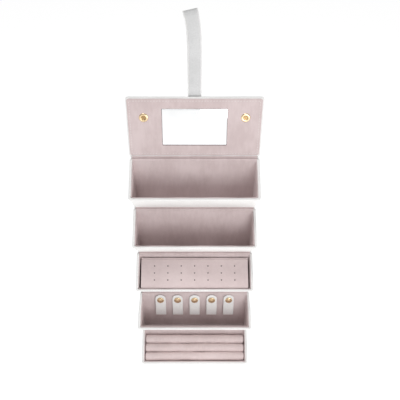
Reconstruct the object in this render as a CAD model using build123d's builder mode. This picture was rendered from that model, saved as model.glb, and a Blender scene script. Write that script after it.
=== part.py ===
from build123d import *
import os
from math import cos, sin, tan, radians

# Hanging roll-up travel jewelry case: a hanging strap, a mirror lid and five wedge bins
# that hinge on one another along their back edges. Millimetres, Z up, front towards -Y.
# The origin is the inside top of the strap loop, where the case hangs on its hook.

# ---- driving dimensions ----
case_width = 160.0      # outer width of the lid and the bins
bin_height = 75.0       # from one fold line to the next
top_angle = 52.0        # between a bin's back and its open face
base_angle = 47.0       # between a bin's back and its base
lid_height = 80.0
strap_drop = 98.0       # from the hook to the lid's top edge
strap_width = 15.5
strap_leather = 1.5     # thickness of one layer of the strap
loop_gap = 8.0          # widest gap between the strap's two legs
strap_setback = 3.2     # the strap's plane lies this far behind the fold lines

outer_skin = 1.5        # back panels reach this far behind the fold lines
inner_skin = 1.7        # and this far in front of them
base_thickness = 3.4
side_thickness = 3.2
lining = 1.0            # suede lining with its backing
fit = 0.05              # clearance between the lining and the panels
fold_radius = 1.5       # leather roll along each fold line
fold_gap = 1.75         # every panel stops this far short of its fold lines
rim_step = 0.5          # the lining stops this far below the rim
lip_round = 3.0         # rounding of the side walls at the lip

mirror_width = 77.0
mirror_height = 47.0
mirror_thickness = 1.2
mirror_centre = 42.8    # above the lid's fold line
snap_reach = 59.7       # the closure snaps stand this far off the centre
snap_rise = 55.0        # and this far above the lid's fold line
snap_radius = 5.5
stud_drop = 24.5        # the studs lie this far below the fold line of the last bin

tab_count = 5
tab_pitch = 25.0
tab_width = 15.5
tab_top = 6.0           # below the fourth bin's upper fold line
tab_fold = 41.0         # below the same line
tab_leaf = 1.2
tab_snap_drop = 12.5
tab_snap_radius = 4.8

panel_width = 147.0
panel_start = 9.0       # the earring panel's fold, along the open face from the bin's fold line
panel_end = 50.3
panel_depth = 2.0       # the panel's top face below the rim
panel_thickness = 2.0
hole_radius = 0.9
hole_columns, hole_rows = 7, 3
hole_pitch_x, hole_pitch_u = 18.4, 9.8
hole_centre = 29.3      # middle row, along the open face

roll_count = 3
roll_radius = 6.3
roll_pitch = 12.9
roll_start = 17.5       # first roll's axis, along the open face
roll_length = 150.0

# ---- derived places ----
hinge_y = -strap_setback
lid_top = -strap_drop
fold_z = [lid_top - lid_height - bin_height * i for i in range(6)]
half = case_width / 2
snap_sides = (-snap_reach, snap_reach)
bay = half - side_thickness         # half the clear width between the side walls
slope_t = tan(radians(top_angle))
slope_b = tan(radians(base_angle))
lip_y = -bin_height / (1 / slope_t + 1 / slope_b)
lip_z = lip_y / slope_t
fold_end = fold_gap - bin_height    # where a bin's panels stop, above the next fold line

os.makedirs("parts", exist_ok=True)


def save(piece, name):
    """Label a finished piece and write it."""
    piece.part.label = name
    export_step(piece.part, f"parts/{name}.step")


def front(y):
    """A plane facing the front at depth y, drawn in X and Z."""
    return Plane.XZ.offset(-y)


def section(z, x=0.0):
    """A plane across the case at x, drawn in Y and Z from the fold line at z."""
    return Plane(origin=(x, hinge_y, z), x_dir=(0, 1, 0), z_dir=(1, 0, 0))


def along_face(u, depth=0.0):
    """A point of a bin's section, u along its open face from the fold and depth below it."""
    y = -u * sin(radians(top_angle)) + depth * cos(radians(top_angle))
    z = -u * cos(radians(top_angle)) - depth * sin(radians(top_angle))
    return (y, z)


def base_line(y, inset=0.0):
    """Height of the base's outer line, or of a line inset from it, at y in the section."""
    return -bin_height - y / slope_b + inset / sin(radians(base_angle))


def meet_face(inset, depth=0.0):
    """Where a line inset from the base meets a line at the given depth below the open face."""
    y = (-bin_height + inset / sin(radians(base_angle)) + depth / sin(radians(top_angle)))
    y /= 1 / slope_t + 1 / slope_b
    return (y, base_line(y, inset))


# ---- hanging strap: a loop whose two legs meet above its sewn foot ----
crown_z = -loop_gap / 2
strap_foot = fold_gap - strap_drop
loop_close = strap_foot + 14
with BuildPart() as strap_loop:
    with BuildSketch(Plane.YZ.offset(-strap_width / 2)):
        with BuildLine():
            crown = CenterArc((0, crown_z), loop_gap / 2 + strap_leather, 0, 180)
            Polyline(crown @ 1, (-strap_leather, loop_close), (-strap_leather, strap_foot),
                     (strap_leather, strap_foot), (strap_leather, loop_close), crown @ 0)
        make_face()
        with BuildLine():
            throat = CenterArc((0, crown_z), loop_gap / 2, 0, 180)
            Polyline(throat @ 1, (0, loop_close), throat @ 0)
        make_face(mode=Mode.SUBTRACT)
    extrude(amount=strap_width)
save(strap_loop, "strap_loop")


# ---- leather rolls along the fold lines ----
def fold_roll(name, y, z, radius, length):
    with BuildPart() as roll:
        with BuildSketch(Plane.YZ.offset(-length / 2)):
            with Locations((y, z)):
                Circle(radius)
        extrude(amount=length)
    save(roll, name)


fold_roll("strap_fold", 0, lid_top, fold_radius - 0.05, strap_width)
for number in range(5):
    fold_roll(f"fold_{number + 1}", hinge_y, fold_z[number], fold_radius, case_width - 3)


# ---- lid: board, lining, mirror, snaps and the strap's sewn anchor ----
with BuildPart() as lid_board:
    with BuildSketch(front(hinge_y + outer_skin)):
        with Locations((0, (fold_z[0] + fold_gap + lid_top) / 2)):
            RectangleRounded(case_width, lid_height - fold_gap, 2.0)
    extrude(amount=outer_skin + inner_skin)
    fillet(lid_board.edges().filter_by(Axis.Y, reverse=True).group_by(Axis.Y)[-1], 0.8)
save(lid_board, "lid_board")

lid_face = hinge_y - inner_skin
lining_face = lid_face - 0.8
mirror_z = fold_z[0] + mirror_centre
with BuildPart() as lid_lining:
    with BuildSketch(front(lid_face)):
        with Locations((0, (fold_z[0] + lid_top + 3) / 2)):
            RectangleRounded(case_width - 3, lid_height - 6, 1.5)
        with Locations((0, mirror_z)):
            Rectangle(mirror_width + 0.2, mirror_height + 0.2, mode=Mode.SUBTRACT)
    extrude(amount=0.8)
save(lid_lining, "lid_lining")

with BuildPart() as mirror_glass:
    with BuildSketch(front(lid_face)):
        with Locations((0, mirror_z)):
            Rectangle(mirror_width, mirror_height)
    extrude(amount=mirror_thickness)
    chamfer(mirror_glass.edges().group_by(Axis.Y)[0], 0.3)
save(mirror_glass, "mirror")

snap_z = fold_z[0] + snap_rise
with BuildPart() as lid_snap_sockets:
    with BuildSketch(front(lining_face)):
        with Locations(*[(x, snap_z) for x in snap_sides]):
            Circle(snap_radius)
            Circle(2.7, mode=Mode.SUBTRACT)
    extrude(amount=1.0)
    fillet(lid_snap_sockets.edges().group_by(Axis.Y)[0], 0.35)
save(lid_snap_sockets, "lid_snap_sockets")

with BuildPart() as lid_snap_caps:
    with BuildSketch(front(hinge_y + outer_skin + 1.2)):
        with Locations(*[(x, snap_z) for x in snap_sides]):
            Circle(6.0)
    extrude(amount=1.2)
    fillet(lid_snap_caps.edges().group_by(Axis.Y)[-1], 1.0)
save(lid_snap_caps, "lid_snap_caps")

anchor_back = 2 * strap_leather
with BuildPart() as strap_anchor:
    with BuildSketch(front(hinge_y + outer_skin + anchor_back)):
        with Locations((0, lid_top - fold_gap - 8)):
            RectangleRounded(strap_width, 16, 1.2)
    extrude(amount=anchor_back)
save(strap_anchor, "strap_anchor")


# ---- bins ----
def back_panel(name, z):
    with BuildPart() as panel:
        with BuildSketch(section(z, -bay)):
            with BuildLine():
                Polyline((outer_skin, -fold_gap), (-inner_skin, -fold_gap),
                         (-inner_skin, fold_end), (outer_skin, fold_end), close=True)
            make_face()
        extrude(amount=2 * bay)
    save(panel, name)


def base_panel(name, z):
    root = -inner_skin
    with BuildPart() as panel:
        with BuildSketch(section(z, -bay)) as outline:
            with BuildLine():
                Polyline((root, base_line(root, base_thickness)), (root, fold_end),
                         (-(bin_height + fold_end) * slope_b, fold_end), (lip_y, lip_z),
                         meet_face(base_thickness), close=True)
            make_face()
            fillet(outline.vertices().sort_by(Axis.X)[0], 1.4)
        extrude(amount=2 * bay)
    save(panel, name)


def side_wall(name, z, x):
    with BuildPart() as wall:
        with BuildSketch(section(z, x)) as outline:
            with BuildLine():
                Polyline((outer_skin, -fold_gap), (-fold_gap * slope_t, -fold_gap),
                         (lip_y, lip_z), (-(bin_height + fold_end) * slope_b, fold_end),
                         (outer_skin, fold_end), close=True)
            make_face()
            fillet(outline.vertices().sort_by(Axis.X)[0], lip_round)
        extrude(amount=side_thickness)
    save(wall, name)


def bin_lining(name, z):
    """A closed suede tray against the back, the base and both side walls."""
    with BuildPart() as tray:
        for inset, cut in ((fit, Mode.ADD), (fit + lining, Mode.SUBTRACT)):
            back = -inner_skin - inset
            reach = bay - inset
            rise = rim_step if cut is Mode.ADD else -2.0
            crown = back / slope_t - rise / sin(radians(top_angle))
            with BuildSketch(section(z, -reach)):
                with BuildLine():
                    Polyline((back, crown), (back, base_line(back, base_thickness + inset)),
                             meet_face(base_thickness + inset, rise), close=True)
                make_face()
            extrude(amount=2 * reach, mode=cut)
    save(tray, name)


for number in range(5):
    z = fold_z[number]
    title = f"bin_{number + 1}"
    back_panel(f"{title}_back", z)
    base_panel(f"{title}_base", z)
    side_wall(f"{title}_side_left", z, -half)
    side_wall(f"{title}_side_right", z, bay)
    bin_lining(f"{title}_lining", z)

# closure studs on the back of the last bin
with BuildPart() as closure_studs:
    for radius, start, height in ((5.0, 0.0, 0.5), (2.2, 0.5, 1.2)):
        with BuildSketch(front(hinge_y + outer_skin + start)):
            with Locations(*[(x, fold_z[4] - stud_drop) for x in snap_sides]):
                Circle(radius)
        extrude(amount=-height)
save(closure_studs, "closure_studs")

# ---- third bin: hinged earring panel ----
fold_y, fold_rise = along_face(panel_start, panel_depth + panel_thickness / 2)
panel_fold_z = fold_z[2] + fold_rise
fold_roll("earring_panel_fold", hinge_y + fold_y, panel_fold_z, 1.0, panel_width)

face_y, face_rise = along_face(panel_start, panel_depth)
slant = Plane(origin=(0, hinge_y + face_y, fold_z[2] + face_rise), x_dir=(1, 0, 0),
              z_dir=(0, -cos(radians(top_angle)), sin(radians(top_angle))))
panel_first = panel_start + 1.1
with BuildPart() as earring_panel:
    with BuildSketch(slant):
        with Locations((0, panel_start - (panel_first + panel_end) / 2)):
            RectangleRounded(panel_width, panel_end - panel_first, 1.5)
        with Locations((0, panel_start - hole_centre)):
            with GridLocations(hole_pitch_x, hole_pitch_u, hole_columns, hole_rows):
                Circle(hole_radius, mode=Mode.SUBTRACT)
    extrude(amount=-panel_thickness)
save(earring_panel, "earring_panel")

# ---- fourth bin: snap tabs for bracelets ----
wall_face = hinge_y - inner_skin - fit - lining
under_y = wall_face - fit
pivot_y = under_y - 1.75
pivot_z = fold_z[3] - tab_fold
leaf_y = under_y - 2.3
tab_snap_z = fold_z[3] - tab_snap_drop
tab_x = [tab_pitch * (number - (tab_count - 1) / 2) for number in range(tab_count)]


def leaf_outline(x, foot):
    """A leaf with a straight foot and a round top."""
    crown = fold_z[3] - tab_top - tab_width / 2
    with Locations((x, (crown + foot) / 2)):
        Rectangle(tab_width, crown - foot)
    with Locations((x, crown)):
        Circle(tab_width / 2)


with BuildPart() as tab_backings:
    for x in tab_x:
        with BuildSketch(front(under_y)):
            leaf_outline(x, pivot_z + 1.85)
        extrude(amount=0.9)
save(tab_backings, "tab_backings")

with BuildPart() as tab_studs:
    for radius, start, height in ((3.0, 0.9, 0.3), (1.3, 1.2, 0.4)):
        with BuildSketch(front(under_y - start)):
            with Locations(*[(x, tab_snap_z) for x in tab_x]):
                Circle(radius)
        extrude(amount=height)
save(tab_studs, "tab_studs")

for number, x in enumerate(tab_x, 1):
    with BuildPart() as tab:
        with BuildSketch(front(leaf_y)):
            leaf_outline(x, pivot_z)
            with Locations((x, tab_snap_z)):
                Circle(1.6, mode=Mode.SUBTRACT)
        extrude(amount=tab_leaf)
        with BuildSketch(Plane.YZ.offset(x - tab_width / 2)):
            with Locations((pivot_y, pivot_z)):
                Circle(1.5)
        extrude(amount=tab_width)
    save(tab, f"tab_{number}")

    with BuildPart() as snap:
        for radius, start, height in ((3.2, -0.4, 0.4), (1.5, 0.0, tab_leaf),
                                      (tab_snap_radius, tab_leaf, 1.4)):
            with BuildSketch(front(leaf_y - start)):
                with Locations((x, tab_snap_z)):
                    Circle(radius)
            extrude(amount=height)
        fillet(snap.edges().group_by(Axis.Y)[0], 1.2)
    save(snap, f"tab_{number}_snap")

# ---- fifth bin: ring rolls ----
for number in range(roll_count):
    y, rise = along_face(roll_start + number * roll_pitch, 1 + roll_radius)
    fold_roll(f"ring_roll_{number + 1}", hinge_y + y, fold_z[4] + rise, roll_radius, roll_length)
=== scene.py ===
import bpy
import bmesh
import math
from mathutils import Vector, Matrix, noise


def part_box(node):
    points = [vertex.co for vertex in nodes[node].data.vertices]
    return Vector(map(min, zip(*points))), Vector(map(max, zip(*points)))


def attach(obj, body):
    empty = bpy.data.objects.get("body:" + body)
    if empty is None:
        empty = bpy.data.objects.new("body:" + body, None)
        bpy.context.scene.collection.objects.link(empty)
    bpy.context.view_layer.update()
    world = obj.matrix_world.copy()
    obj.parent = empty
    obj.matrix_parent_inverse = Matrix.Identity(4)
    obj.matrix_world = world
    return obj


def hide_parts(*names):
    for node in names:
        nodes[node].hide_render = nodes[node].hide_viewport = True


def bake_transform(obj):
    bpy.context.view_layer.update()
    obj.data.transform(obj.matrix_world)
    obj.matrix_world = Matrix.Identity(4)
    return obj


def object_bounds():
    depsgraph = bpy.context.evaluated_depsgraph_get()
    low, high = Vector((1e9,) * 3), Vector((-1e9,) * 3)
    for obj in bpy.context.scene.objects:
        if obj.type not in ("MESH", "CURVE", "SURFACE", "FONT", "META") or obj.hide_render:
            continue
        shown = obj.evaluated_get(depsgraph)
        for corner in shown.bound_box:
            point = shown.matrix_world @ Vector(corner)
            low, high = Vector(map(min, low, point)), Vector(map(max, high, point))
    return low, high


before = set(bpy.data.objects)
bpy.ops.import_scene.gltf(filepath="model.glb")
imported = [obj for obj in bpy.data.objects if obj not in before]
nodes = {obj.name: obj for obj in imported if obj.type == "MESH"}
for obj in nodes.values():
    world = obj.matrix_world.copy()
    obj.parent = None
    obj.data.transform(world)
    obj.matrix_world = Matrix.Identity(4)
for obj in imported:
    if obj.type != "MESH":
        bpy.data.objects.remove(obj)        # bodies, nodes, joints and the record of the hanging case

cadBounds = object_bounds()
mm = 0.001
scene = bpy.context.scene
noise.seed_set(7)        # the same stitches every time the script runs


def centreOf(node):
    low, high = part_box(node)
    return (low + high) / 2


# places shared by every piece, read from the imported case
foldAxis = [centreOf("fold_%d" % n) for n in range(1, 6)]
hingeY = foldAxis[0].y
lidTop = centreOf("strap_fold").z
pitch = foldAxis[0].z - foldAxis[1].z
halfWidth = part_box("bin_1_side_right")[1].x
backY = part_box("bin_1_back")[1].y          # outer face of every back
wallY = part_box("bin_1_back")[0].y          # inner face of every back board

# camera and light
view = {"tilt": 37.3, "distance": 0.720, "lens": 52.7, "rise": 0.0891,
        "shiftX": 0.0135, "shiftY": 0.075}
studio = {"world": 0.40, "floorDrop": 0.22, "floorReach": 8, "floorTone": 0.93,
          "floorGlow": 0.60, "floorRough": 0.9, "floorShine": 0.1}
lamps = {"keyLight": {"place": (-0.25, -0.48, 1.25), "size": 0.6, "power": 8.4, "aimFold": 2},
         "fillLight": {"place": (0.3, -0.78, -0.28), "size": 0.5, "power": 2.7, "aimFold": 4}}


def addCamera():
    tilt = math.radians(view["tilt"])
    ahead = Vector((0, math.cos(tilt), -math.sin(tilt)))
    up = Vector((0, math.sin(tilt), math.cos(tilt)))
    camera = bpy.data.objects.new("camera", bpy.data.cameras.new("camera"))
    camera.data.lens = view["lens"]
    camera.data.shift_x = view["shiftX"]
    camera.data.shift_y = view["shiftY"]
    camera.location = foldAxis[0] - ahead * view["distance"] - up * view["rise"]
    camera.rotation_euler = ahead.to_track_quat("-Z", "Y").to_euler()
    scene.collection.objects.link(camera)
    scene.camera = camera


def addLamp(name, place, size, power, aimFold):
    lamp = bpy.data.objects.new(name, bpy.data.lights.new(name, "AREA"))
    lamp.data.size = size
    lamp.data.energy = power
    lamp.location = place
    aim = Vector((0, 0, foldAxis[aimFold].z))
    lamp.rotation_euler = (aim - Vector(place)).to_track_quat("-Z", "Y").to_euler()
    scene.collection.objects.link(lamp)


def addStudio():
    scene.view_settings.view_transform = "Standard"
    world = bpy.data.worlds.new("softWhite")
    world.use_nodes = True
    world.node_tree.nodes["Background"].inputs["Color"].default_value = (1, 1, 1, 1)
    world.node_tree.nodes["Background"].inputs["Strength"].default_value = studio["world"]
    scene.world = world
    for name, lamp in lamps.items():
        addLamp(name, **lamp)
    bm = bmesh.new()
    bmesh.ops.create_grid(bm, x_segments=1, y_segments=1, size=studio["floorReach"])
    bmesh.ops.translate(bm, verts=bm.verts, vec=(0, 0, cadBounds[0].z - studio["floorDrop"]))
    mesh = bpy.data.meshes.new("floor")
    bm.to_mesh(mesh)
    bm.free()
    floor = bpy.data.objects.new("floor", mesh)
    scene.collection.objects.link(floor)
    paint = bpy.data.materials.new("paleFloor")
    paint.use_nodes = True
    shader = paint.node_tree.nodes["Principled BSDF"]
    tone = studio["floorTone"]
    shader.inputs["Base Color"].default_value = (tone, tone, tone, 1)
    shader.inputs["Roughness"].default_value = studio["floorRough"]
    shader.inputs["Specular IOR Level"].default_value = studio["floorShine"]
    shader.inputs["Emission Color"].default_value = (1, 1, 1, 1)
    shader.inputs["Emission Strength"].default_value = studio["floorGlow"]
    mesh.materials.append(paint)


addCamera()
addStudio()
print("stage: camera and light")


# shader groups; a noise is given as scale, detail and roughness
grainLook = {"warp": (420.0, 2.0), "warpBy": 0.9 * mm, "pebbleEdge": 0.22, "pore": (3200.0, 2.0),
             "poreDepth": 0.25, "drift": (26.0, 4.0), "driftRange": (0.3, 0.7)}
napLook = {"stretch": (1.0, 1.0, 0.35), "turn": (0.0, 0.4, 0.0), "broad": (22.0, 4.0, 0.6),
           "streak": (240.0, 4.0, 0.6), "fibre": (2600.0, 3.0, 0.7), "broadShare": 0.65,
           "streakShare": 0.35, "brushRange": (0.36, 0.64), "streakHeight": 0.6}
scuffLook = {"stretch": (60.0, 60.0, 1800.0), "turn": (0.0, 0.6, 0.2),
             "scratch": (3.0, 3.0, 0.6), "scratchRange": (0.56, 0.72),
             "smudge": (55.0, 4.0, 0.6), "smudgeRange": (0.4, 0.75)}


def newGroup(name, inputs, outputs):
    tree = bpy.data.node_groups.new(name, "ShaderNodeTree")
    for label, kind, value in inputs:
        socket = tree.interface.new_socket(label, in_out="INPUT", socket_type="NodeSocket" + kind)
        if value is not None:
            socket.default_value = value
    for label, kind in outputs:
        tree.interface.new_socket(label, in_out="OUTPUT", socket_type="NodeSocket" + kind)
    return tree, tree.nodes.new("NodeGroupInput"), tree.nodes.new("NodeGroupOutput")


def addNode(tree, kind, **values):
    node = tree.nodes.new(kind)
    for key, value in values.items():
        setattr(node, key, value)
    return node


def mathNode(tree, operation, first, second):
    node = addNode(tree, "ShaderNodeMath", operation=operation)
    for index, value in enumerate((first, second)):
        if isinstance(value, (int, float)):
            node.inputs[index].default_value = value
        else:
            tree.links.new(value, node.inputs[index])
    return node.outputs[0]


def ramp(tree, value, low, high):
    node = addNode(tree, "ShaderNodeMapRange", interpolation_type="SMOOTHSTEP")
    tree.links.new(value, node.inputs["Value"])
    node.inputs["From Min"].default_value = low
    node.inputs["From Max"].default_value = high
    return node.outputs["Result"]


def noiseNode(tree, vector, scale, detail, rough=0.55):
    node = addNode(tree, "ShaderNodeTexNoise")
    tree.links.new(vector, node.inputs["Vector"])
    node.inputs["Scale"].default_value = scale
    node.inputs["Detail"].default_value = detail
    node.inputs["Roughness"].default_value = rough
    return node.outputs["Fac"]


def stretchNode(tree, vector, look):
    node = addNode(tree, "ShaderNodeMapping")
    tree.links.new(vector, node.inputs["Vector"])
    node.inputs["Scale"].default_value = look["stretch"]
    node.inputs["Rotation"].default_value = look["turn"]
    return node.outputs[0]


def pebbleGroup():
    # small rounded pebbles with fine pores in the valleys between them
    tree, start, end = newGroup(
        "pebbleGrain", [("Vector", "Vector", None), ("Size", "Float", 900.0)],
        [("Height", "Float"), ("Valley", "Float"), ("Drift", "Float")])
    place = start.outputs["Vector"]
    warp = noiseNode(tree, place, *grainLook["warp"])
    spread = addNode(tree, "ShaderNodeCombineXYZ")
    for axis in range(3):
        tree.links.new(warp, spread.inputs[axis])
    offset = addNode(tree, "ShaderNodeVectorMath", operation="SCALE")
    tree.links.new(spread.outputs[0], offset.inputs[0])
    offset.inputs["Scale"].default_value = grainLook["warpBy"]
    moved = addNode(tree, "ShaderNodeVectorMath", operation="ADD")
    tree.links.new(place, moved.inputs[0])
    tree.links.new(offset.outputs[0], moved.inputs[1])
    cell = addNode(tree, "ShaderNodeTexVoronoi", feature="DISTANCE_TO_EDGE")
    tree.links.new(moved.outputs[0], cell.inputs["Vector"])
    tree.links.new(start.outputs["Size"], cell.inputs["Scale"])
    pebble = ramp(tree, cell.outputs["Distance"], 0.0, grainLook["pebbleEdge"])
    pore = mathNode(tree, "MULTIPLY", noiseNode(tree, place, *grainLook["pore"]),
                    grainLook["poreDepth"])
    tree.links.new(mathNode(tree, "ADD", pebble, pore), end.inputs["Height"])
    tree.links.new(mathNode(tree, "SUBTRACT", 1.0, pebble), end.inputs["Valley"])
    drift = noiseNode(tree, place, *grainLook["drift"])
    tree.links.new(ramp(tree, drift, *grainLook["driftRange"]), end.inputs["Drift"])
    return tree


def napGroup():
    # brushed suede: broad hand marks, streaks of nap and single fibres
    tree, start, end = newGroup(
        "suedeNap", [("Vector", "Vector", None)],
        [("Height", "Float"), ("Brush", "Float"), ("Fibre", "Float")])
    place = start.outputs["Vector"]
    broad = noiseNode(tree, place, *napLook["broad"])
    streak = noiseNode(tree, stretchNode(tree, place, napLook), *napLook["streak"])
    fibre = noiseNode(tree, place, *napLook["fibre"])
    brush = mathNode(tree, "ADD", mathNode(tree, "MULTIPLY", broad, napLook["broadShare"]),
                     mathNode(tree, "MULTIPLY", streak, napLook["streakShare"]))
    tree.links.new(ramp(tree, brush, *napLook["brushRange"]), end.inputs["Brush"])
    tree.links.new(fibre, end.inputs["Fibre"])
    raised = mathNode(tree, "MULTIPLY", streak, napLook["streakHeight"])
    tree.links.new(mathNode(tree, "ADD", fibre, raised), end.inputs["Height"])
    return tree


def scuffGroup():
    # hairline scratches and faint finger marks for hard shiny pieces
    tree, start, end = newGroup(
        "fineScuffs", [("Vector", "Vector", None)], [("Scratch", "Float"), ("Smudge", "Float")])
    place = start.outputs["Vector"]
    scratch = noiseNode(tree, stretchNode(tree, place, scuffLook), *scuffLook["scratch"])
    tree.links.new(ramp(tree, scratch, *scuffLook["scratchRange"]), end.inputs["Scratch"])
    smudge = noiseNode(tree, place, *scuffLook["smudge"])
    tree.links.new(ramp(tree, smudge, *scuffLook["smudgeRange"]), end.inputs["Smudge"])
    return tree


pebbleGrain, suedeNap, fineScuffs = pebbleGroup(), napGroup(), scuffGroup()

# finishes
leatherLook = {"valleyShadeMix": 0.55, "smooth": 0.42, "rough": 0.62, "shine": 0.4, "bump": 0.35,
               "bumpDepth": 0.12 * mm}
suedeLook = {"fibreRange": (0.3, 0.6), "fibreMix": 0.35, "fibreHighlight": 1.12, "rough": 0.95,
             "shine": 0.12, "sheen": 0.35, "sheenRough": 0.45, "sheenTint": (1.0, 0.93, 0.92, 1),
             "bump": 0.3, "bumpDepth": 0.15 * mm}
scratchDepth = 0.02 * mm
threadLook = {"twist": 1500.0, "deep": (0.70, 0.66, 0.64), "light": (0.86, 0.84, 0.82),
              "rough": 0.7, "bump": 0.5, "bumpDepth": 0.08 * mm}


def newMaterial(name):
    material = bpy.data.materials.new(name)
    material.use_nodes = True
    tree = material.node_tree
    place = addNode(tree, "ShaderNodeTexCoord").outputs["Object"]
    return material, tree, tree.nodes["Principled BSDF"], place


def addPattern(tree, group, place):
    pattern = addNode(tree, "ShaderNodeGroup", node_tree=group)
    tree.links.new(place, pattern.inputs["Vector"])
    return pattern


def mixColour(tree, factor, first, second):
    node = addNode(tree, "ShaderNodeMix", data_type="RGBA")
    tree.links.new(factor, node.inputs["Factor"])
    for socket, value in ((node.inputs[6], first), (node.inputs[7], second)):
        if isinstance(value, tuple):
            socket.default_value = (*value, 1)
        else:
            tree.links.new(value, socket)
    return node.outputs[2]


def addBump(tree, height, shader, strength, distance):
    bump = addNode(tree, "ShaderNodeBump")
    tree.links.new(height, bump.inputs["Height"])
    bump.inputs["Strength"].default_value = strength
    bump.inputs["Distance"].default_value = distance
    tree.links.new(bump.outputs["Normal"], shader.inputs["Normal"])


def spreadRoughness(tree, mask, shader, low, high):
    node = addNode(tree, "ShaderNodeMapRange")
    tree.links.new(mask, node.inputs["Value"])
    node.inputs["To Min"].default_value = low
    node.inputs["To Max"].default_value = high
    tree.links.new(node.outputs["Result"], shader.inputs["Roughness"])


def leather(name, light, deep, valley, size):
    material, tree, shader, place = newMaterial(name)
    grain = addPattern(tree, pebbleGrain, place)
    grain.inputs["Size"].default_value = size
    tone = mixColour(tree, grain.outputs["Drift"], light, deep)
    # the valleys between pebbles are mixed towards the darker valley colour: painted shade in the
    # grain
    shade = mathNode(tree, "MULTIPLY", grain.outputs["Valley"], leatherLook["valleyShadeMix"])
    tree.links.new(mixColour(tree, shade, tone, valley), shader.inputs["Base Color"])
    spreadRoughness(tree, grain.outputs["Valley"], shader, leatherLook["smooth"],
                    leatherLook["rough"])
    shader.inputs["Specular IOR Level"].default_value = leatherLook["shine"]
    addBump(tree, grain.outputs["Height"], shader, leatherLook["bump"], leatherLook["bumpDepth"])
    return material


def suede(name, light, deep):
    material, tree, shader, place = newMaterial(name)
    nap = addPattern(tree, suedeNap, place)
    brushed = mixColour(tree, nap.outputs["Brush"], deep, light)
    # raised fibres are painted lighter than the suede: painted highlight on the nap
    shade = mathNode(tree, "MULTIPLY", ramp(tree, nap.outputs["Fibre"], *suedeLook["fibreRange"]),
                     suedeLook["fibreMix"])
    raised = tuple(c * suedeLook["fibreHighlight"] for c in light)
    tree.links.new(mixColour(tree, shade, brushed, raised), shader.inputs["Base Color"])
    shader.inputs["Roughness"].default_value = suedeLook["rough"]
    shader.inputs["Specular IOR Level"].default_value = suedeLook["shine"]
    shader.inputs["Sheen Weight"].default_value = suedeLook["sheen"]
    shader.inputs["Sheen Roughness"].default_value = suedeLook["sheenRough"]
    shader.inputs["Sheen Tint"].default_value = suedeLook["sheenTint"]
    addBump(tree, nap.outputs["Height"], shader, suedeLook["bump"], suedeLook["bumpDepth"])
    return material


def polished(name, colour, worn, low, high, bumpStrength):
    material, tree, shader, place = newMaterial(name)
    scuffs = addPattern(tree, fineScuffs, place)
    tree.links.new(mixColour(tree, scuffs.outputs["Smudge"], colour, worn),
                   shader.inputs["Base Color"])
    shader.inputs["Metallic"].default_value = 1.0
    spreadRoughness(tree, scuffs.outputs["Smudge"], shader, low, high)
    addBump(tree, scuffs.outputs["Scratch"], shader, bumpStrength, scratchDepth)
    return material


def sewingThread(name):
    material, tree, shader, place = newMaterial(name)
    twist = addNode(tree, "ShaderNodeTexWave", bands_direction="DIAGONAL")
    tree.links.new(place, twist.inputs["Vector"])
    twist.inputs["Scale"].default_value = threadLook["twist"]
    # the twist's grooves take the deep colour and its ridges the light one: painted shade and
    # highlight along the twist
    tree.links.new(mixColour(tree, twist.outputs["Fac"], threadLook["deep"], threadLook["light"]),
                   shader.inputs["Base Color"])
    shader.inputs["Roughness"].default_value = threadLook["rough"]
    addBump(tree, twist.outputs["Fac"], shader, threadLook["bump"], threadLook["bumpDepth"])
    return material


whiteLeather = leather("whiteLeather", (0.91, 0.905, 0.895), (0.86, 0.855, 0.845),
                       (0.74, 0.72, 0.70), 950.0)
# the strap is the case's white leather painted a darker grey: painted shade over the whole strap
shadedStrapLeather = leather("shadedStrapLeather", (0.70, 0.70, 0.70), (0.60, 0.60, 0.60),
                       (0.50, 0.50, 0.50), 780.0)
edgePaint = leather("edgePaint", (0.84, 0.835, 0.83), (0.76, 0.755, 0.75),
                    (0.60, 0.59, 0.58), 2400.0)
# three copies of one pink suede at different brightness: the lining copy is darkened as painted
# shade, the panel and roll copies are lighter as painted light on the open faces
pinkSuede = suede("pinkSuede", (0.64, 0.54, 0.537), (0.535, 0.437, 0.433))
panelSuede = suede("panelSuede", (0.70, 0.59, 0.585), (0.63, 0.52, 0.515))
rollSuede = suede("rollSuede", (0.73, 0.61, 0.60), (0.64, 0.525, 0.515))
goldMetal = polished("goldMetal", (0.87, 0.69, 0.44), (0.76, 0.57, 0.34), 0.16, 0.34, 0.15)
# a darker copy of the gold for the sunk centre of the lid sockets: painted shade in the recess
recessShadeGold = polished("recessShadeGold", (0.42, 0.28, 0.14), (0.30, 0.20, 0.10), 0.3, 0.5, 0.2)
mirrorGlass = polished("mirrorGlass", (0.95, 0.955, 0.96), (0.90, 0.91, 0.915),
                       0.015, 0.05, 0.0)
# dark metal for the mirror's edge faces: painted shade along the mirror's edges
glassEdgeShade = polished("glassEdgeShade", (0.20, 0.21, 0.21), (0.28, 0.29, 0.29), 0.2, 0.4, 0.1)
# a near-black suede used only as painted shade: the shadow line under the mirror, the walls of the
# earring holes and the block seen through them
paintedShadeSuede = suede("paintedShadeSuede", (0.16, 0.12, 0.12), (0.10, 0.075, 0.075))
thread = sewingThread("thread")
print("stage: materials")


# modelling helpers
cutGap = 1e-7            # how near to a cutting plane a point counts as on it
weldGap = 1e-6           # points nearer than this are one


def makePiece(bm, name, materials, body=None, replace=(), sharp=40):
    bmesh.ops.recalc_face_normals(bm, faces=bm.faces)
    mesh = bpy.data.meshes.new(name)
    bm.to_mesh(mesh)
    bm.free()
    mesh.shade_smooth()
    mesh.set_sharp_from_angle(angle=math.radians(sharp))
    piece = bpy.data.objects.new(name, mesh)
    scene.collection.objects.link(piece)
    for material in materials:
        mesh.materials.append(material)
    if body:
        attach(piece, body)
    if replace:
        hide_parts(*replace)
    return piece


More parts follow.
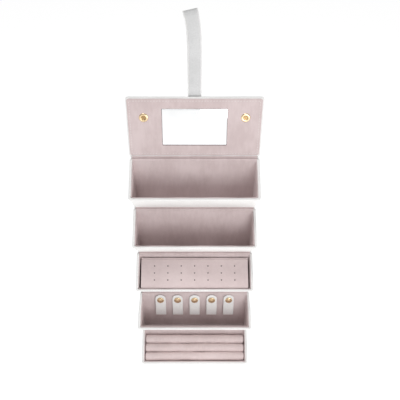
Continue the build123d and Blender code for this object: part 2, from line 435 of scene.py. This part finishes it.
def solidWalls(bm, thickness):
    # walls grow inwards from the open surface
    mesh = bpy.data.meshes.new("blank")
    bm.to_mesh(mesh)
    bm.free()
    blank = bpy.data.objects.new("blank", mesh)
    scene.collection.objects.link(blank)
    wall = blank.modifiers.new("wall", "SOLIDIFY")
    wall.thickness = thickness
    wall.offset = -1
    wall.use_even_offset = True
    made = bpy.data.meshes.new_from_object(
        blank.evaluated_get(bpy.context.evaluated_depsgraph_get()))
    bpy.data.objects.remove(blank)
    thick = bmesh.new()
    thick.from_mesh(made)
    bpy.data.meshes.remove(made)
    return thick


def cutAt(bm, point, normal, clear=False):
    bmesh.ops.bisect_plane(bm, geom=bm.verts[:] + bm.edges[:] + bm.faces[:], dist=cutGap,
                           plane_co=point, plane_no=normal, clear_outer=clear)


def trim(bm, point, normal, ring=False):
    # cuts away what lies beyond the plane and closes the cut
    cutAt(bm, point, normal, clear=True)
    rim = [e for e in bm.edges if e.is_boundary]
    if ring:
        bmesh.ops.bridge_loops(bm, edges=rim)
    else:
        bmesh.ops.holes_fill(bm, edges=rim, sides=0)


def bevelEdges(bm, edges, offset, segments):
    bmesh.ops.bevel(bm, geom=edges, offset=offset, offset_type="OFFSET", affect="EDGES",
                    segments=segments, profile=0.5, material=-1, clamp_overlap=False)


def sharpEdges(bm, degrees, keep=lambda p: True):
    limit = math.radians(degrees)
    return [e for e in bm.edges if len(e.link_faces) == 2 and e.calc_face_angle(0) > limit
            and any(keep(v.co) for v in e.verts)]


def gridCuts(bm, step, axes="XZ"):
    # even cuts through the mesh, so that it can bend and swell
    for letter in axes:
        axis = "XYZ".index(letter)
        low = min(v.co[axis] for v in bm.verts)
        high = max(v.co[axis] for v in bm.verts)
        count = int((high - low) / step)
        normal = Vector((axis == 0, axis == 1, axis == 2))
        for index in range(1, count):
            level = low + (high - low) * index / count
            cutAt(bm, normal * level, normal)


def unevenSkin(bm, depth, grain, seed):
    bm.normal_update()
    shifts = [(v, v.normal * depth * noise.noise(v.co * grain + Vector((seed, 0, seed))))
              for v in bm.verts]
    for vert, shift in shifts:
        vert.co += shift


def grownVerts(geom):
    return [g for g in geom if isinstance(g, bmesh.types.BMVert)]


# bins: a leather-covered wedge with a suede tray inside
binAngles = {"top": 52, "base": 47}        # from the back to the open face and to the base
binShape = {"inset": 0.0, "wall": 3.2 * mm, "corner": 4.2 * mm, "drop": 0.03 * mm,
            "edge": 0.9 * mm, "edgeSteps": 3, "edgeTop": 4 * mm, "skin": 0.22 * mm,
            "skinGrain": 38.0, "seedStep": 7.3}
liningShape = {"inset": 3.25 * mm, "wall": 1.0 * mm, "corner": 2.4 * mm, "drop": 0.5 * mm,
               "edge": 0.35 * mm, "edgeSteps": 2, "edgeTop": 5 * mm, "skin": 0.35 * mm,
               "skinGrain": 45.0, "seedStep": 3.1}
trayShape = {"endGap": 1.75 * mm, "edgeFoot": 2.5 * mm, "cornerSteps": 5, "sharp": 35,
             "cut": 7 * mm}
belly = {"out": (0.3 * mm, 0.5 * mm, 0.4 * mm, 2.2 * mm, 0.3 * mm), "middle": 0.55,
         "spread": 0.5, "depth": 20 * mm}
sinT, cosT = math.sin(math.radians(binAngles["top"])), math.cos(math.radians(binAngles["top"]))
slopeT = math.tan(math.radians(binAngles["top"]))
sinB = math.sin(math.radians(binAngles["base"]))
slopeB = math.tan(math.radians(binAngles["base"]))
openWay = Vector((0, -cosT, sinT))         # straight out of the open face


def facePoint(fold, u, depth=0.0):
    # a point u down the open face from a fold line, and depth below that face
    return Vector((0, fold.y - u * sinT + depth * cosT, fold.z - u * cosT - depth * sinT))


def wedgeTray(fold, shape):
    inset = shape["inset"]
    back, reach = backY - hingeY - inset, halfWidth - inset
    lipY = (-pitch + inset / sinB) / (1 / slopeT + 1 / slopeB)
    points = [(back, back / slopeT), (back, -pitch - back / slopeB + inset / sinB),
              (lipY, lipY / slopeT)]
    bm = bmesh.new()
    verts = [bm.verts.new((-reach, fold.y + y, fold.z + z)) for y, z in points]
    side = bm.faces.new(verts)
    grown = bmesh.ops.extrude_face_region(bm, geom=[side])["geom"]
    bmesh.ops.translate(bm, vec=(2 * reach, 0, 0), verts=grownVerts(grown))
    bmesh.ops.recalc_face_normals(bm, faces=bm.faces)
    openFace = max(bm.faces, key=lambda f: f.normal.dot(openWay))
    corners = [e for e in bm.edges if abs(abs(e.verts[0].co.x) - reach) < weldGap
               and abs(e.verts[0].co.x - e.verts[1].co.x) < weldGap
               and openFace not in e.link_faces]
    bmesh.ops.delete(bm, geom=[openFace], context="FACES_ONLY")
    bevelEdges(bm, corners, shape["corner"], trayShape["cornerSteps"])
    bm = solidWalls(bm, shape["wall"])
    endGap = trayShape["endGap"]
    trim(bm, facePoint(fold, 0, shape["drop"]), openWay, ring=True)
    trim(bm, Vector((0, 0, fold.z - endGap)), Vector((0, 0, 1)))
    trim(bm, Vector((0, 0, fold.z - pitch + endGap)), Vector((0, 0, -1)))
    bmesh.ops.remove_doubles(bm, verts=bm.verts, dist=weldGap)
    return bm


def bellySides(bm, fold, amount):
    # the side walls swell outwards a little between the fold and the lip
    for vert in bm.verts:
        down = fold.z - vert.co.z - belly["middle"] * pitch
        share = max(0.0, 1 - (down / (belly["spread"] * pitch)) ** 2)
        depth = min(1.0, (hingeY - vert.co.y) / belly["depth"])
        if depth > 0:
            swell = amount * share * depth * (abs(vert.co.x) / halfWidth) ** 6
            vert.co.x += math.copysign(swell, vert.co.x)


def softTray(fold, number, shape):
    bm = wedgeTray(fold, shape)
    low, high = fold.z - pitch + trayShape["edgeFoot"], fold.z - shape["edgeTop"]
    edges = sharpEdges(bm, trayShape["sharp"], lambda p: low < p.z < high)
    bevelEdges(bm, edges, shape["edge"], shape["edgeSteps"])
    gridCuts(bm, trayShape["cut"])
    unevenSkin(bm, shape["skin"], shape["skinGrain"], number * shape["seedStep"])
    bellySides(bm, fold, belly["out"][number - 1])
    return bm


for number, fold in enumerate(foldAxis, 1):
    title = "bin_%d" % number
    boards = [title + part for part in ("_back", "_base", "_side_left", "_side_right")]
    makePiece(softTray(fold, number, binShape), title + "_cover", [whiteLeather], title,
              boards)
    makePiece(softTray(fold, number, liningShape), title + "_tray", [pinkSuede], title,
              [title + "_lining"])
print("stage: bins")


def block(low, high, shape, upright="Y"):
    # a board with rounded corners seen along one axis and softened edges
    bm = bmesh.new()
    bmesh.ops.create_cube(bm, size=1)
    low, high = Vector(low), Vector(high)
    for vert in bm.verts:
        vert.co = (low + high) / 2 + Vector([c * (b - a) for c, a, b in zip(vert.co, low, high)])
    axis = "XYZ".index(upright)
    along = [e for e in bm.edges if abs((e.verts[0].co - e.verts[1].co).normalized()[axis]) > 0.9]
    bevelEdges(bm, along, shape["corner"], 5)
    bevelEdges(bm, sharpEdges(bm, 50), shape["edge"], 3)
    return bm


def turned(bm, profile, centre, steps=36):
    # spins (radius, height) pairs about a line through the centre; height counts towards -Y
    verts = [bm.verts.new(centre + Vector((radius * mm, -height * mm, 0)))
             for radius, height in profile]
    edges = [bm.edges.new(pair) for pair in zip(verts, verts[1:])]
    bmesh.ops.spin(bm, geom=verts + edges, cent=centre, axis=(0, 1, 0), angle=math.tau,
                   steps=steps, use_merge=True)
    bmesh.ops.remove_doubles(bm, verts=bm.verts, dist=weldGap)


stitchWander = {"grain": 900, "turn": 0.08}


def stitchRow(bm, start, end, seam):
    # short rounded stitches in a line, each laid a little off true
    start, end = Vector(start), Vector(end)
    ahead = (end - start).normalized()
    count = int((end - start).length / seam["spacing"])
    size = Matrix.Diagonal((seam["thick"] / 2, seam["thick"] / 2, seam["length"] / 2, 1))
    for index in range(count):
        place = start + (end - start) * (index + 0.5) / count
        wander = noise.noise_vector(place * stitchWander["grain"]) * stitchWander["turn"]
        turn = (ahead + wander).to_track_quat("Z", "Y").to_matrix().to_4x4()
        bmesh.ops.create_icosphere(bm, subdivisions=1, radius=1,
                                   matrix=Matrix.Translation(place) @ turn @ size)


def sewFlat(bm, rows, y, seam):
    # rows of stitches on a face that looks along Y, each row from one (x, z) to another
    for first, second in rows:
        stitchRow(bm, (first[0], y, first[1]), (second[0], y, second[1]), seam)


def roundTrip(corners):
    return list(zip(corners, corners[1:] + corners[:1]))


# lid: leather board, suede lining and mirror
lidShape = {"corner": 3.0 * mm, "edge": 1.1 * mm, "cut": 6 * mm, "skin": 0.18 * mm}
lidSuede = {"corner": 2.4 * mm, "edge": 0.35 * mm, "proud": 0.1 * mm, "cut": 4 * mm,
            "skin": 0.15 * mm}
lidSeam = {"inset": 2.6 * mm, "proud": 0.12 * mm, "spacing": 3.4 * mm, "length": 2.4 * mm,
           "thick": 0.55 * mm}
mirrorShape = {"corner": 0.8 * mm, "edge": 0.45 * mm, "facing": -0.98}
# the dark sheet behind the mirror reaches 0.9 mm below its bottom edge: a painted shadow line under
# the mirror
mirrorShadowShape = {"corner": 0.8 * mm, "edge": 0.2 * mm, "low": Vector((-0.1, 0.15, -0.9)),
             "high": Vector((0.1, 0, 0))}

lidCover = block(*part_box("lid_board"), lidShape)
gridCuts(lidCover, lidShape["cut"])
unevenSkin(lidCover, lidShape["skin"], 40.0, 2.2)
makePiece(lidCover, "lid_cover", [whiteLeather], "lid", ["lid_board"])

liningLow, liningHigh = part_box("lid_lining")
lidLining = block(liningLow - Vector((0, lidSuede["proud"], 0)), liningHigh, lidSuede)
gridCuts(lidLining, lidSuede["cut"])
unevenSkin(lidLining, lidSuede["skin"], 55.0, 5.1)
makePiece(lidLining, "lid_suede", [pinkSuede], "lid", ["lid_lining"])

left, right = liningLow.x + lidSeam["inset"], liningHigh.x - lidSeam["inset"]
foot, head = liningLow.z + lidSeam["inset"], liningHigh.z - lidSeam["inset"]
lidStitches = bmesh.new()
sewFlat(lidStitches, roundTrip([(left, foot), (left, head), (right, head), (right, foot)]),
        liningLow.y - lidSeam["proud"], lidSeam)
makePiece(lidStitches, "lid_stitches", [thread], "lid")

mirrorLow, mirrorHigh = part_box("mirror")
glass = block(mirrorLow, mirrorHigh, mirrorShape)
# the front face is mirror; every other face gets the dark edge metal as painted shade
for face in glass.faces:
    face.material_index = 0 if face.normal.y < mirrorShape["facing"] else 1
makePiece(glass, "mirror_glass", [mirrorGlass, glassEdgeShade], "lid", ["mirror"], 20)
# a painted shadow line: a dark sheet behind the mirror that shows only as a thin line below it
mirrorShadowLine = block(mirrorLow + mirrorShadowShape["low"] * mm, mirrorHigh + mirrorShadowShape["high"] * mm, mirrorShadowShape)
makePiece(mirrorShadowLine, "mirror_shadow_line", [paintedShadeSuede], "lid")

# snaps: each profile is a list of (radius, height) in mm
snapX = 59.7 * mm
snapShapes = {
    "ring": [(2.75, 0.1), (2.75, 0.4), (2.95, 0.75), (3.4, 0.95), (4.2, 0.98), (4.9, 0.8),
             (5.35, 0.45), (5.5, 0.1), (5.5, 0.0)],
    "cup": [(0, 0.28), (1.4, 0.28), (2.0, 0.25), (2.5, 0.3), (2.8, 0.38)],
    "cap": [(0, -1.25), (2.5, -1.2), (4.3, -0.95), (5.5, -0.5), (6.0, -0.1), (6.0, 0.0)],
    "knob": [(5.0, 0.0), (5.0, -0.3), (4.6, -0.46), (2.4, -0.48), (1.9, -0.65), (1.75, -1.0),
             (2.2, -1.35), (2.1, -1.48), (1.2, -1.52), (0, -1.52)]}
socketY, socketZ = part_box("lid_snap_sockets")[1].y, centreOf("lid_snap_sockets").z
studZ = centreOf("closure_studs").z


def snapPair(shape, y, z):
    bm = bmesh.new()
    for x in (-snapX, snapX):
        turned(bm, snapShapes[shape], Vector((x, y, z)))
    return bm


makePiece(snapPair("ring", socketY, socketZ), "lid_snap_rings", [goldMetal], "lid",
          ["lid_snap_sockets"], 60)
# the socket cups take the darker gold: painted shade in the sunk centre
makePiece(snapPair("cup", socketY, socketZ), "lid_snap_cups", [recessShadeGold], "lid",
          sharp=60)
makePiece(snapPair("cap", backY, socketZ), "lid_snap_backs", [goldMetal], "lid",
          ["lid_snap_caps"], 60)
makePiece(snapPair("knob", backY, studZ), "closure_knobs", [goldMetal], "bin_5",
          ["closure_studs"], 60)
print("stage: lid")


# strap: one leather band folded over the hook, with both ends sewn to the lid's back
strapShape = {"width": 15.5 * mm, "thick": 1.42 * mm, "cuts": 14, "levels": 30,
              "crown": 4.75 * mm, "crownDrop": 7.5 * mm, "crownSteps": 12,
              "foot": 0.6 * mm, "partZ": -92 * mm, "partPower": 0.8, "frontY": -0.95 * mm,
              "backY": 0.52 * mm, "backGap": 0.4 * mm, "hang": 96 * mm, "lean": -5.2 * mm,
              "tilt": 0.2, "twist": 0.12, "splay": 0.35 * mm, "frontSplay": 0.4,
              "wave": 0.7 * mm, "paintedEdge": 1.15 * mm, "edge": 0.35 * mm, "bend": 7 * mm}
strapSeam = {"x": 5.6 * mm, "top": 3.5 * mm, "foot": 2.2 * mm, "y": 1.28 * mm,
             "spacing": 2.6 * mm, "length": 1.9 * mm, "thick": 0.5 * mm}
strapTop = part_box("strap_loop")[1].z
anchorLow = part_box("strap_anchor")[0].z + strapShape["foot"]


def leatherBand(bm, path, width, cuts):
    # a flat band: the path's points run up its middle
    verts = [bm.verts.new(point - Vector((width / 2, 0, 0))) for point in path]
    edges = [bm.edges.new(pair) for pair in zip(verts, verts[1:])]
    for index in range(cuts):
        grown = bmesh.ops.extrude_edge_only(bm, edges=edges)["geom"]
        edges = [g for g in grown if isinstance(g, bmesh.types.BMEdge)]
        bmesh.ops.translate(bm, verts=grownVerts(grown), vec=(width / cuts, 0, 0))


def strapPath():
    # up the front layer, over the crown and down the back layer
    crown, steps, partZ = strapShape["crown"], strapShape["crownSteps"], strapShape["partZ"]
    crownZ, frontY = strapTop - strapShape["crownDrop"], strapShape["frontY"]
    levels = strapShape["levels"]
    points = []
    for index in range(levels):
        z = anchorLow + (crownZ - anchorLow) * index / levels
        share = max(0.0, (z - partZ) / (crownZ - partZ))
        y = frontY - (frontY + crown) * share ** strapShape["partPower"]
        points.append(Vector((0, y, z)))
    for index in range(steps + 1):
        angle = math.pi * (1 - index / steps)
        points.append(Vector((0, crown * math.cos(angle), crownZ + crown * math.sin(angle))))
    for point in reversed(points[:levels]):
        sewn = point.z < partZ
        y = strapShape["backY"] if sewn else -point.y - strapShape["backGap"]
        points.append(Vector((0, y, point.z)))
    return points


strapMesh = bmesh.new()
leatherBand(strapMesh, strapPath(), strapShape["width"], strapShape["cuts"])
plainHalf = strapShape["width"] / 2 - strapShape["paintedEdge"]
for face in strapMesh.faces:
    face.material_index = abs(face.calc_center_median().x) > plainHalf
for vert in strapMesh.verts:
    share = max(0.0, 1 + vert.co.z / strapShape["hang"])       # grows towards the hook
    vert.co.z += strapShape["tilt"] * vert.co.x * share ** 3
    vert.co.y += strapShape["twist"] * vert.co.x * share ** 2
    vert.co.x += strapShape["lean"] * share ** 6
    apart = -1 if vert.co.y > 0 else strapShape["frontSplay"]
    vert.co.x += apart * strapShape["splay"] * share
    wave = noise.noise(Vector((vert.co.x * 40, 1.7, vert.co.z * 30)))
    vert.co.y += strapShape["wave"] * share * wave
bmesh.ops.recalc_face_normals(strapMesh, faces=strapMesh.faces)
strapMesh = solidWalls(strapMesh, strapShape["thick"])
bevelEdges(strapMesh, sharpEdges(strapMesh, 50), strapShape["edge"], 2)
# the strap's faces carry the darker grey leather, painted shade; its edge bands carry edgePaint
strapPiece = makePiece(strapMesh, "hanging_strap", [shadedStrapLeather, edgePaint], None,
                       ["strap_loop", "strap_fold", "strap_anchor"])
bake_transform(strapPiece)

boxX, boxTop, boxFoot = strapSeam["x"], lidTop - strapSeam["top"], anchorLow + strapSeam["foot"]
topLeft, topRight = (-boxX, boxTop), (boxX, boxTop)
footLeft, footRight = (-boxX, boxFoot), (boxX, boxFoot)
strapStitches = bmesh.new()
sewFlat(strapStitches, roundTrip([topLeft, topRight, footRight, footLeft])
        + [(topLeft, footRight), (topRight, footLeft)], strapSeam["y"], strapSeam)
makePiece(strapStitches, "strap_stitches", [thread], "lid")
print("stage: strap")


# leather spine outside and lining inside, across every fold line
foldPairs = [("lid", "bin_1")] + [("bin_%d" % n, "bin_%d" % (n + 1)) for n in range(1, 5)]
foldShape = {"steps": 12, "groove": 1.1 * mm, "cuts": 60, "skin": 0.25 * mm, "skinGrain": 60.0,
             "edge": 0.2 * mm, "bend": 2.0 * mm}
spine = {"reach": 9.0 * mm, "thick": 0.55 * mm, "dent": -0.5 * mm, "proud": 0.35 * mm,
         "narrower": 2.5 * mm}
crease = {"reach": 3.4 * mm, "thick": 0.5 * mm, "dent": 2.3 * mm, "proud": -0.1 * mm,
          "narrower": 6 * mm}
spineSeam = {"reach": 74 * mm, "inset": 1.5 * mm, "proud": 0.48 * mm, "spacing": 3.2 * mm,
             "length": 2.3 * mm, "thick": 0.5 * mm}


def foldBand(level, face, shape):
    # a band across the fold line with a soft groove along its middle; its ends follow
    # the rounded back corners of the bins
    steps = foldShape["steps"]
    path = []
    for index in range(2 * steps + 1):
        z = shape["reach"] * (1 - index / steps)
        groove = math.exp(-(z / foldShape["groove"]) ** 2)
        path.append(Vector((0, face + shape["proud"] + shape["dent"] * groove, level + z)))
    bm = bmesh.new()
    leatherBand(bm, path, 2 * halfWidth - shape["narrower"], foldShape["cuts"])
    turn = binShape["corner"]
    for vert in bm.verts:
        past = abs(vert.co.x) - (halfWidth - turn)
        if past > 0:
            vert.co.y -= turn - math.sqrt(turn ** 2 - past ** 2)
    unevenSkin(bm, foldShape["skin"], foldShape["skinGrain"], level * 50)
    bm = solidWalls(bm, shape["thick"])
    bevelEdges(bm, sharpEdges(bm, 50), foldShape["edge"], 2)
    return bm


for number, (upper, lower) in enumerate(foldPairs, 1):
    level = foldAxis[number - 1].z
    outerPiece = makePiece(foldBand(level, backY, spine), "spine_%d" % number, [whiteLeather],
                           None, ["fold_%d" % number])
    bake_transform(outerPiece)
    innerPiece = makePiece(foldBand(level, wallY, crease), "crease_%d" % number, [pinkSuede])
    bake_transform(innerPiece)
    for side, body in ((1, upper), (-1, lower)):
        z = level + side * (spine["reach"] - spineSeam["inset"])
        rows = [((-spineSeam["reach"], z), (0, z)), ((spineSeam["reach"], z), (0, z))]
        sewn = bmesh.new()
        sewFlat(sewn, rows, backY + spineSeam["proud"], spineSeam)
        makePiece(sewn, "spine_%d_%s_stitches" % (number, body), [thread], body)
print("stage: folds")


# bracelet tabs: leather loops folded at the foot, closed by a gold snap
tabShape = {"width": 15.0 * mm, "thick": 0.8 * mm, "rise": 2.5 * mm, "lie": 1.6 * mm,
            "backDrop": 3.0 * mm, "frontGap": 0.2 * mm, "leafSteps": 24, "backSteps": 10,
            "footSteps": 8, "cuts": 10, "roundness": 2.6, "tipWidth": 0.25, "edge": 0.18 * mm,
            "hingeGap": 0.02 * mm, "bendWay": Vector((0, -0.3, 0.012))}
tabSeam = {"inset": 1.5 * mm, "proud": 0.05 * mm, "from": 0.05, "step": 0.17, "rows": 4,
           "spacing": 2.2 * mm, "length": 1.6 * mm, "thick": 0.4 * mm}
buttonShape = [(5.1, 0.0), (5.1, 0.5), (4.7, 0.95), (3.9, 1.1), (3.3, 0.9), (2.3, 1.15),
               (1.1, 1.35), (0, 1.4)]
washerShape = [(0, -1.3), (3.0, -1.25), (3.2, -1.05), (3.0, -0.8), (0, -0.8)]
tabHalf = tabShape["width"] / 2
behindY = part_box("tab_backings")[1].y


def leafPoint(x, frontY, footZ, topZ, share):
    # the leaf leans back against the wall towards its top
    return Vector((x, frontY + tabShape["lie"] * share ** 3, footZ + (topZ - footZ) * share))


for number in range(1, 6):
    title = "tab_%d" % number
    tabLow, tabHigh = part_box(title)
    snapZ = centreOf(title + "_snap").z
    centreX = (tabLow.x + tabHigh.x) / 2
    frontY = tabLow.y + tabShape["frontGap"]
    middleY, curve = (frontY + behindY) / 2, (behindY - frontY) / 2
    footZ = tabLow.z + curve
    topZ, backTop = tabHigh.z + tabShape["rise"], tabHigh.z - tabShape["backDrop"]
    leaf = (centreX, frontY, footZ, topZ)
    backSteps, footSteps = tabShape["backSteps"], tabShape["footSteps"]
    leafSteps = tabShape["leafSteps"]

    # down the sewn backing, round the foot and up the leaf
    path = [Vector((centreX, behindY, backTop + (footZ - backTop) * n / backSteps))
            for n in range(backSteps + 1)]
    path += [Vector((centreX, middleY + curve * math.cos(math.pi * n / footSteps),
                     footZ - curve * math.sin(math.pi * n / footSteps)))
             for n in range(1, footSteps)]
    path += [leafPoint(*leaf, n / leafSteps) for n in range(leafSteps + 1)]
    loop = bmesh.new()
    leatherBand(loop, path, tabShape["width"], tabShape["cuts"])
    for vert in loop.verts:
        along = vert.co.z - (topZ - tabHalf)
        if vert.co.y < middleY and along > 0:
            arc = math.sqrt(max(0.0, 1 - (along / tabHalf) ** tabShape["roundness"]))
            vert.co.x = centreX + (vert.co.x - centreX) * max(tabShape["tipWidth"], arc)
    bmesh.ops.recalc_face_normals(loop, faces=loop.faces)
    loop = solidWalls(loop, tabShape["thick"])
    bevelEdges(loop, sharpEdges(loop, 60), tabShape["edge"], 2)
    shown = [title] + (["tab_backings"] if number == 1 else [])
    loopPiece = makePiece(loop, title + "_loop", [whiteLeather], None, shown)
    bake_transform(loopPiece)

    snapShare = (snapZ - footZ) / (topZ - footZ)
    seat = Vector((centreX, leafPoint(*leaf, snapShare).y, snapZ))
    button = bmesh.new()
    turned(button, buttonShape, seat)
    turned(button, washerShape, seat)
    makePiece(button, title + "_button", [goldMetal], title, [title + "_snap"], 50)

    sewn = bmesh.new()
    marks = [tabSeam["from"] + tabSeam["step"] * n for n in range(tabSeam["rows"] + 1)]
    for side in (-1, 1):
        edge = Vector((side * (tabHalf - tabSeam["inset"]), -tabSeam["proud"], 0))
        for first, second in zip(marks, marks[1:]):
            stitchRow(sewn, leafPoint(*leaf, first) + edge, leafPoint(*leaf, second) + edge,
                      tabSeam)
    makePiece(sewn, title + "_stitches", [thread], title)
print("stage: bracelet tabs")


# ring rolls: foam wrapped in suede, pressed flat against one another
rollShape = {"segments": 40, "edge": 2.2 * mm, "cut": 4 * mm, "gap": 0.15 * mm, "press": 1.05,
             "wave": 0.9 * mm, "waveShare": 0.6, "swell": 0.03, "lumps": 0.05,
             "skin": 0.35 * mm, "fill": 0.8}
rollCentres = [centreOf("ring_roll_%d" % n) for n in range(1, 4)]
rollWay = (rollCentres[2] - rollCentres[0]).normalized()
halfPress = (rollCentres[0] - rollCentres[1]).length / 2 - rollShape["gap"]
for number, centre in enumerate(rollCentres, 1):
    node = "ring_roll_%d" % number
    rollLow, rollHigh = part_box(node)
    radius = (rollHigh.z - rollLow.z) / 2
    lengthwise = Matrix.Translation(centre) @ Matrix.Rotation(math.pi / 2, 4, "Y")
    roll = bmesh.new()
    bmesh.ops.create_cone(roll, cap_ends=True, segments=rollShape["segments"], radius1=radius,
                          radius2=radius, depth=rollHigh.x - rollLow.x, matrix=lengthwise)
    bevelEdges(roll, sharpEdges(roll, 60), rollShape["edge"], 4)
    gridCuts(roll, rollShape["cut"], "X")
    for vert in roll.verts:
        offset = vert.co - centre
        offset.x = 0
        side = offset.dot(rollWay)
        wave = rollShape["wave"] * noise.noise(Vector((vert.co.x * 38, number * 4.1, 0)))
        pressed = max(-halfPress, min(halfPress, side * rollShape["press"]))
        vert.co += rollWay * (pressed + wave * rollShape["waveShare"] - side)
        lumps = noise.noise(vert.co * 48 + Vector((0, number, 0)))
        vert.co += (offset - rollWay * side) * (rollShape["swell"] + rollShape["lumps"] * lumps)
    unevenSkin(roll, rollShape["skin"], 90.0, number * 9.1)
    rollPiece = makePiece(roll, node + "_padded", [rollSuede], "bin_5", [node],
                          70)
print("stage: ring rolls")


# earring panel: the punched card copied, softened and covered in suede
panelShape = {"border": 3 * mm, "holeBorder": 6 * mm, "edge": 0.35 * mm,
              "holeFace": 4 * mm * mm, "wallTilt": 0.2}
foamShape = {"low": Vector((-68, 15, 4.1)), "high": Vector((68, 47, 5.0)), "corner": 2 * mm,
             "edge": 0.2 * mm}


def copyNode(node):
    bm = bmesh.new()
    bm.from_mesh(nodes[node].data)
    bm.transform(nodes[node].matrix_world)
    bmesh.ops.remove_doubles(bm, verts=bm.verts, dist=weldGap)
    return bm


panel = copyNode("earring_panel")
panelReach = max(v.co.x for v in panel.verts) - panelShape["border"]
bevelEdges(panel, sharpEdges(panel, 50, lambda p: abs(p.x) > panelReach), panelShape["edge"], 2)
bmesh.ops.recalc_face_normals(panel, faces=panel.faces)
# the walls of the holes get the near-black suede: painted shade inside the holes
for face in panel.faces:                   # the walls of the holes are dark
    upright = abs(face.normal.dot(openWay)) < panelShape["wallTilt"]
    within = abs(face.calc_center_median().x) < panelReach - panelShape["holeBorder"]
    face.material_index = upright and within and face.calc_area() < panelShape["holeFace"]
makePiece(panel, "earring_card", [panelSuede, paintedShadeSuede], "earring_panel",
          ["earring_panel"], 20)

# a dark block under the card, seen through its holes: painted shade in the holes
foam = block(foamShape["low"] * mm, foamShape["high"] * mm, foamShape, "Z")
turn = Matrix(((1, 0, 0), (0, -sinT, cosT), (0, -cosT, -sinT))).to_4x4()
foam.transform(Matrix.Translation((0, foldAxis[2].y, foldAxis[2].z)) @ turn)
makePiece(foam, "earring_foam", [paintedShadeSuede], "earring_panel")
print("stage: earring panel")

# parts of the case kept as they are, with their own finish
keptFinish = {"earring_panel_fold": panelSuede, "tab_studs": goldMetal}
for node, material in keptFinish.items():
    mesh = nodes[node].data
    mesh.materials.clear()
    mesh.materials.append(material)
print("stage: kept parts")
